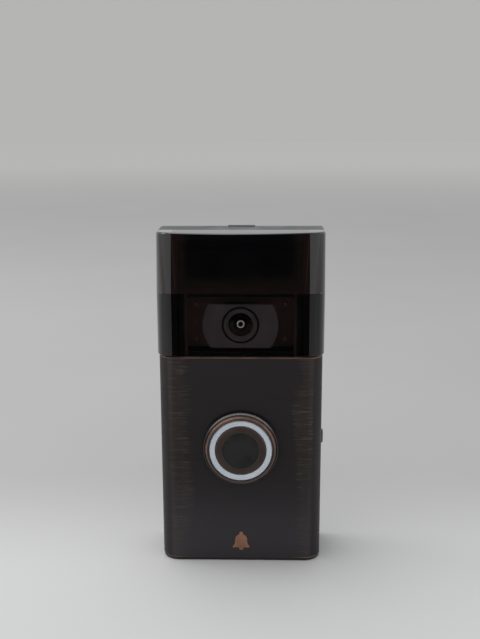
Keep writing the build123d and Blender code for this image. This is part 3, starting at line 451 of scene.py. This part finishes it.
def moulded(name, color, rough=0.5, grain=2600.0):
    """Moulded plastic of one colour."""
    s = Shader(name)
    s.set(Base_Color=grained(s, color, toned(color, 1.35, 0.004), rough, grain))
    return s.material


def camera_grey(name, color, rough):
    """Fine-grained grey plate round the lens, with painted shade in black along the groove between plate
    and lens ring.
    """
    groove_inside = 6.2 * MM
    groove_outside = 6.9 * MM
    blur = 0.05 * MM
    s = Shader(name)
    radius = s.radius_from(LENS_CENTRE)
    # painted shade: a black band along the groove, where shade falls between the parts
    painted_groove_shade = s.product(s.span(radius, groove_inside - blur, groove_inside + blur),
                       s.span(radius, groove_outside + blur, groove_outside - blur))
    plain = grained(s, color, toned(color, 1.3), rough, 3200.0, FINE_GRAIN_DEPTH)
    s.set(Base_Color=s.mix(painted_groove_shade, plain, GROOVE_PAINTED_SHADE))
    return s.material


def bracket_black():
    """Black moulded bracket with a painted highlight along its thin top lip."""
    s = Shader("bracket_black")
    # painted highlight: pale grey along the top, where light from above falls
    painted_highlight = s.span(s.height(), cad_high.z - 0.5 * MM, cad_high.z - 0.3 * MM)
    plain = grained(s, (0.032, 0.032, 0.033), (0.047, 0.047, 0.049), 0.40)
    s.set(Base_Color=s.mix(painted_highlight, plain, (0.25, 0.26, 0.255)))
    return s.material


def chassis_black():
    """Black moulded chassis, brown along the upright edges of its opening for the camera."""
    edge_inside = 19.6 * MM
    edge_outside = 20.6 * MM
    edge_foot = 80.0 * MM
    s = Shader("chassis_black")
    across = s.across()
    edge = s.product(s.span(across, edge_inside - 0.2 * MM, edge_inside + 0.2 * MM),
                     s.span(across, edge_outside + 0.3 * MM, edge_outside - 0.3 * MM))
    upright = s.product(edge, s.span(s.height(), edge_foot - MM, edge_foot + MM))
    plain = grained(s, (0.010, 0.008, 0.008), (0.016, 0.013, 0.013), 0.48)
    s.set(Base_Color=s.mix(upright, plain, (0.105, 0.062, 0.054)))
    return s.material


# ---- Other materials ----
def metal(name, color, rough=0.3):
    """Plain metal with fine scratches."""
    s = Shader(name)
    scratch = s.noise(s.place((300, 300, 3000)), detail=3, roughness=0.7)
    s.set(Base_Color=s.mix(wear(s, 260.0), color, toned(color, 0.72)), Metallic=1.0)
    s.set(Roughness=s.vary(scratch, rough - 0.06, rough + 0.12))
    s.bump(scratch, 0.006 * MM, 0.5)
    return s.material


def rubber(name, color, rough=0.75):
    """Soft rubber or foam with a pitted surface."""
    s = Shader(name)
    pits = s.add("ShaderNodeTexVoronoi")
    s.tree.links.new(s.place((1800, 1800, 1800)), pits.inputs["Vector"])
    s.set(Base_Color=s.mix(wear(s, 200.0), color, toned(color, 0.6)), Roughness=rough)
    s.bump(pits.outputs["Distance"], 0.03 * MM, 0.5)
    return s.material


def milky_ring():
    """Milky light guide: satin white plastic, a touch blue, that scatters light inside."""
    s = Shader("milky_ring")
    cloud = s.noise(s.place((140, 140, 140)), detail=3)
    color = s.mix(s.vary(cloud), (0.60, 0.65, 0.72), (0.66, 0.70, 0.76))
    s.set(Base_Color=color, Roughness=0.32, Subsurface_Weight=0.25, IOR=1.5)
    s.set(Subsurface_Radius=(0.9 * MM, 1.0 * MM, 1.2 * MM), Subsurface_Scale=1.0)
    s.bump(s.noise(s.place(), 2400.0), 0.006 * MM, 0.4)
    return s.material


def circuit_board(name, mask, track):
    """Solder mask with faint copper tracks beneath it."""
    s = Shader(name)
    tracks = s.add("ShaderNodeTexBrick", offset=0.5)
    tracks.inputs["Scale"].default_value = 420.0
    tracks.inputs["Mortar Size"].default_value = 0.035
    axes = s.split(s.place())
    flat = s.add("ShaderNodeCombineXYZ")
    s.tree.links.new(axes["X"], flat.inputs["X"])
    s.tree.links.new(axes["Z"], flat.inputs["Y"])
    s.tree.links.new(flat.outputs[0], tracks.inputs["Vector"])
    s.set(Base_Color=s.mix(tracks.outputs["Fac"], mask, track), Roughness=0.32)
    s.bump(tracks.outputs["Fac"], 0.02 * MM, 0.4)
    return s.material


def lamp_die(name, color):
    """Small light-emitting part under a clear lens, switched off."""
    s = Shader(name)
    s.set(Base_Color=s.mix(wear(s, 500.0), color, toned(color, 0.8)), Roughness=0.2, Coat_Weight=0.6)
    return s.material


def dress():
    """Gives every CAD node its material."""
    worn_by = {
        faceplate_bronze(): ["faceplate"],
        turned_bronze("bezel_bronze", 12.4 * MM, 13.1 * MM, 0.85): ["button_bezel"],
        turned_bronze("cap_bronze", 6.0 * MM, 9.0 * MM, 0.18): ["button_cap"],
        moulded("centre_black", (0.017, 0.016, 0.016), 0.42): ["button_centre"],
        milky_ring(): ["light_ring"],
        metal("copper_mark", (0.50, 0.26, 0.18), 0.42): ["bell_inlay"],
        smoked("smoked_window", 0.34, WINDOW_TINT, WINDOW_TINT, 1.43): ["camera_window"],
        smoked("smoked_cover", 0.74, COVER_TINT, COVER_LOW_TINT, 1.70): ["motion_sensor_cover"],
        lens_glass(): ["front_lens"],
        moulded("housing_black", (0.032, 0.032, 0.033), 0.40): ["rear_housing"],
        moulded("button_grey", (0.11, 0.11, 0.11), 0.38): ["setup_button"],
        bracket_black(): ["mounting_bracket"],
        chassis_black(): ["front_chassis"],
        camera_grey("surround_grey", (0.137, 0.110, 0.114), 0.6): ["camera_surround"],
        camera_grey("lens_ring_grey", (0.127, 0.106, 0.108), 0.5): ["lens_ring"],
        moulded("chip_black", (0.018, 0.018, 0.019), 0.6, 3600.0):
            ["lens_barrel", "lens_holder", "image_sensor", "button_switch", "setup_switch",
             "speaker_driver"],
        metal("zinc_steel", (0.56, 0.56, 0.57), 0.32):
            ["security_screw", "housing_screws", "terminal_screws", "usb_port"],
        metal("black_zinc", (0.045, 0.045, 0.048), 0.5): ["post_screws", "board_screws"],
        metal("drawn_can", (0.62, 0.61, 0.58), 0.28): ["processor_shield", "microphone"],
        metal("black_oxide_can", (0.10, 0.095, 0.09), 0.4): ["motion_sensors"],
        metal("turned_brass", (0.72, 0.52, 0.25), 0.3): ["threaded_insert", "terminal_plates"],
        lens_stop_ring(): ["lens_stop"],
        circuit_board("green_mask", (0.003, 0.020, 0.010), (0.012, 0.050, 0.022)):
            ["main_circuit_board", "ring_light_board", "setup_switch_board"],
        circuit_board("black_mask", (0.165, 0.092, 0.080), (0.19, 0.11, 0.095)):
            ["camera_board", "motion_sensor_board"],
        rubber("black_rubber", (0.010, 0.010, 0.010)):
            ["housing_gasket", "lens_gasket", "microphone_seal", "button_pad"],
        rubber("grey_foam", (0.07, 0.07, 0.075), 0.9):
            ["faceplate_adhesive", "battery_pads", "speaker_gasket"],
        moulded("polyimide", (0.40, 0.17, 0.03), 0.35): ["wifi_antenna"],
        moulded("black_film", (0.020, 0.015, 0.013), 0.4): ["camera_cable"],
        moulded("battery_film", (0.05, 0.09, 0.19), 0.38): ["battery_pack"],
        moulded("cream_nylon", (0.74, 0.70, 0.60), 0.5): ["battery_connector"],
        moulded("red_wire", (0.34, 0.02, 0.02), 0.45): ["battery_cable"],
        lamp_die("led_die", (0.80, 0.78, 0.66)): ["ring_leds"],
        moulded("infrared_epoxy", (0.18, 0.102, 0.088), 0.8): ["infrared_leds", "light_sensor"],
    }
    dressed = set()
    for material, names in worn_by.items():
        for name in names:
            mesh = NODES[name].data
            mesh.materials.clear()
            mesh.materials.append(material)
            dressed.add(name)
    bare = set(NODES) - dressed
    if bare:
        raise ValueError(f"no material for {sorted(bare)}")


# ---- Softened edges ----
SOFT_EDGES = {"mounting_bracket": 0.25 * MM, "setup_button": 0.4 * MM}
SHARP_ANGLE = math.radians(50)


def soften():
    """Rounds the sharp edges of plain moulded pieces so that they catch the light."""
    for name, width in SOFT_EDGES.items():
        bevel = NODES[name].modifiers.new("edges", "BEVEL")
        bevel.width = width
        bevel.segments = 2
        bevel.limit_method = "ANGLE"
        bevel.angle_limit = SHARP_ANGLE
        bevel.use_clamp_overlap = True
        bevel.harden_normals = True


# ---- Stage ----
FLOOR_SIZE = 12.0
FLOOR_TONE = (0.68, 0.68, 0.675)
SWEEP_TONE = (0.485, 0.486, 0.478)
# painted light: the far floor is lightened where the lamps' light falls off
FAR_PAINTED_LIGHT_TONE = (0.757, 0.755, 0.73)
MOTTLE_TONE = (0.74, 0.73, 0.72)
SWEEP_START = -0.05
SWEEP_END = 0.07
FAR_START = 0.4
FAR_END = 3.2

CARD_TONE = (0.012, 0.011, 0.012)
CARD_LIFT = 0.002
CARD_DISTANCE = 0.9
FRONT_CARD_HEIGHT = 1.8
FRONT_CARD_HALF_FOOT = 0.60
FRONT_CARD_HALF_TOP = 1.30
FLOOR_CARD_NEAR = 0.07
FLOOR_CARD_HALF_NEAR = 0.16
FLOOR_CARD_HALF_FAR = 0.32

WALL_TONE = (0.462, 0.463, 0.450)
ROOM_TONE = (0.62, 0.625, 0.635)

LIGHTS = {
    "top_light": {"place": (-0.25, 0.10, 0.95), "aim": (0, 0, 0.06), "size": (0.9, 0.7), "power": 3.4},
    "left_light": {"place": (-1.20, 0.25, 0.75), "aim": (0, 0.1, 0), "size": (0.6, 0.6), "power": 3.0},
}


def plane(name, corners, material):
    """Flat stage piece with the given corners."""
    mesh = bpy.data.meshes.new(name)
    mesh.from_pydata(corners, [], [tuple(range(len(corners)))])
    mesh.materials.append(material)
    made = bpy.data.objects.new(name, mesh)
    bpy.context.scene.collection.objects.link(made)
    return made


def make_floor():
    """Pale floor, darker behind the doorbell and painted lighter far away to make up for the lamps' light
    falling off there, with a faint mottle.
    """
    s = Shader("pale_floor")
    mottle = s.noise(s.place((6, 6, 6)))
    back = s.split(s.place())["Y"]
    tone = s.mix(s.span(back, SWEEP_START, SWEEP_END), FLOOR_TONE, SWEEP_TONE)
    away = s.length_of(s.place((1, 1, 0)))
    # painted light: lighter far away, against the lamps' falloff
    tone = s.mix(s.span(away, FAR_START, FAR_END), tone, FAR_PAINTED_LIGHT_TONE)
    tone = s.mix(s.vary(mottle, 0.0, 0.05), tone, MOTTLE_TONE)
    s.set(Base_Color=tone, Roughness=0.9, Specular_IOR_Level=0.0)
    half = FLOOR_SIZE / 2
    plane("floor", [(-half, -half, 0), (half, -half, 0), (half, half, 0), (-half, half, 0)], s.material)


def make_cards():
    """Two dark cards in front of the doorbell that only its reflections see."""
    dark = Shader("dark_card")
    dark.set(Base_Color=CARD_TONE, Roughness=1.0, Specular_IOR_Level=0.0)
    cards = {
        "front_card": [(-FRONT_CARD_HALF_FOOT, -CARD_DISTANCE, CARD_LIFT),
                       (FRONT_CARD_HALF_FOOT, -CARD_DISTANCE, CARD_LIFT),
                       (FRONT_CARD_HALF_TOP, -CARD_DISTANCE, FRONT_CARD_HEIGHT),
                       (-FRONT_CARD_HALF_TOP, -CARD_DISTANCE, FRONT_CARD_HEIGHT)],
        "floor_card": [(-FLOOR_CARD_HALF_FAR, -CARD_DISTANCE, CARD_LIFT),
                       (-FLOOR_CARD_HALF_NEAR, -FLOOR_CARD_NEAR, CARD_LIFT),
                       (FLOOR_CARD_HALF_NEAR, -FLOOR_CARD_NEAR, CARD_LIFT),
                       (FLOOR_CARD_HALF_FAR, -CARD_DISTANCE, CARD_LIFT)],
    }
    for name, corners in cards.items():
        card = plane(name, corners, dark.material)
        card.visible_camera = False
        card.visible_shadow = False
        card.visible_diffuse = False


def make_room():
    """Even light from all round, with another tone where the camera sees the room itself."""
    world = bpy.data.worlds.new("room")
    world.use_nodes = True
    tree = world.node_tree
    tree.nodes.clear()
    output = tree.nodes.new("ShaderNodeOutputWorld")
    mixer = tree.nodes.new("ShaderNodeMixShader")
    path = tree.nodes.new("ShaderNodeLightPath")
    room = tree.nodes.new("ShaderNodeBackground")
    seen = tree.nodes.new("ShaderNodeBackground")
    room.inputs["Color"].default_value = (*ROOM_TONE, 1.0)
    seen.inputs["Color"].default_value = (*WALL_TONE, 1.0)
    tree.links.new(path.outputs["Is Camera Ray"], mixer.inputs[0])
    tree.links.new(room.outputs[0], mixer.inputs[1])
    tree.links.new(seen.outputs[0], mixer.inputs[2])
    tree.links.new(mixer.outputs[0], output.inputs["Surface"])
    bpy.context.scene.world = world
    bpy.context.scene.view_settings.view_transform = "Standard"


def make_lights():
    """A soft light from above and one from the left."""
    for name, facts in LIGHTS.items():
        light = bpy.data.lights.new(name, "AREA")
        light.shape = "RECTANGLE"
        light.size, light.size_y = facts["size"]
        light.energy = facts["power"]
        lamp = bpy.data.objects.new(name, light)
        lamp.location = facts["place"]
        toward = Vector(facts["aim"]) - Vector(facts["place"])
        lamp.rotation_euler = toward.to_track_quat("-Z", "Y").to_euler()
        lamp.visible_camera = False
        bpy.context.scene.collection.objects.link(lamp)


make_camera()
dress()
soften()
make_floor()
make_cards()
make_room()
make_lights()
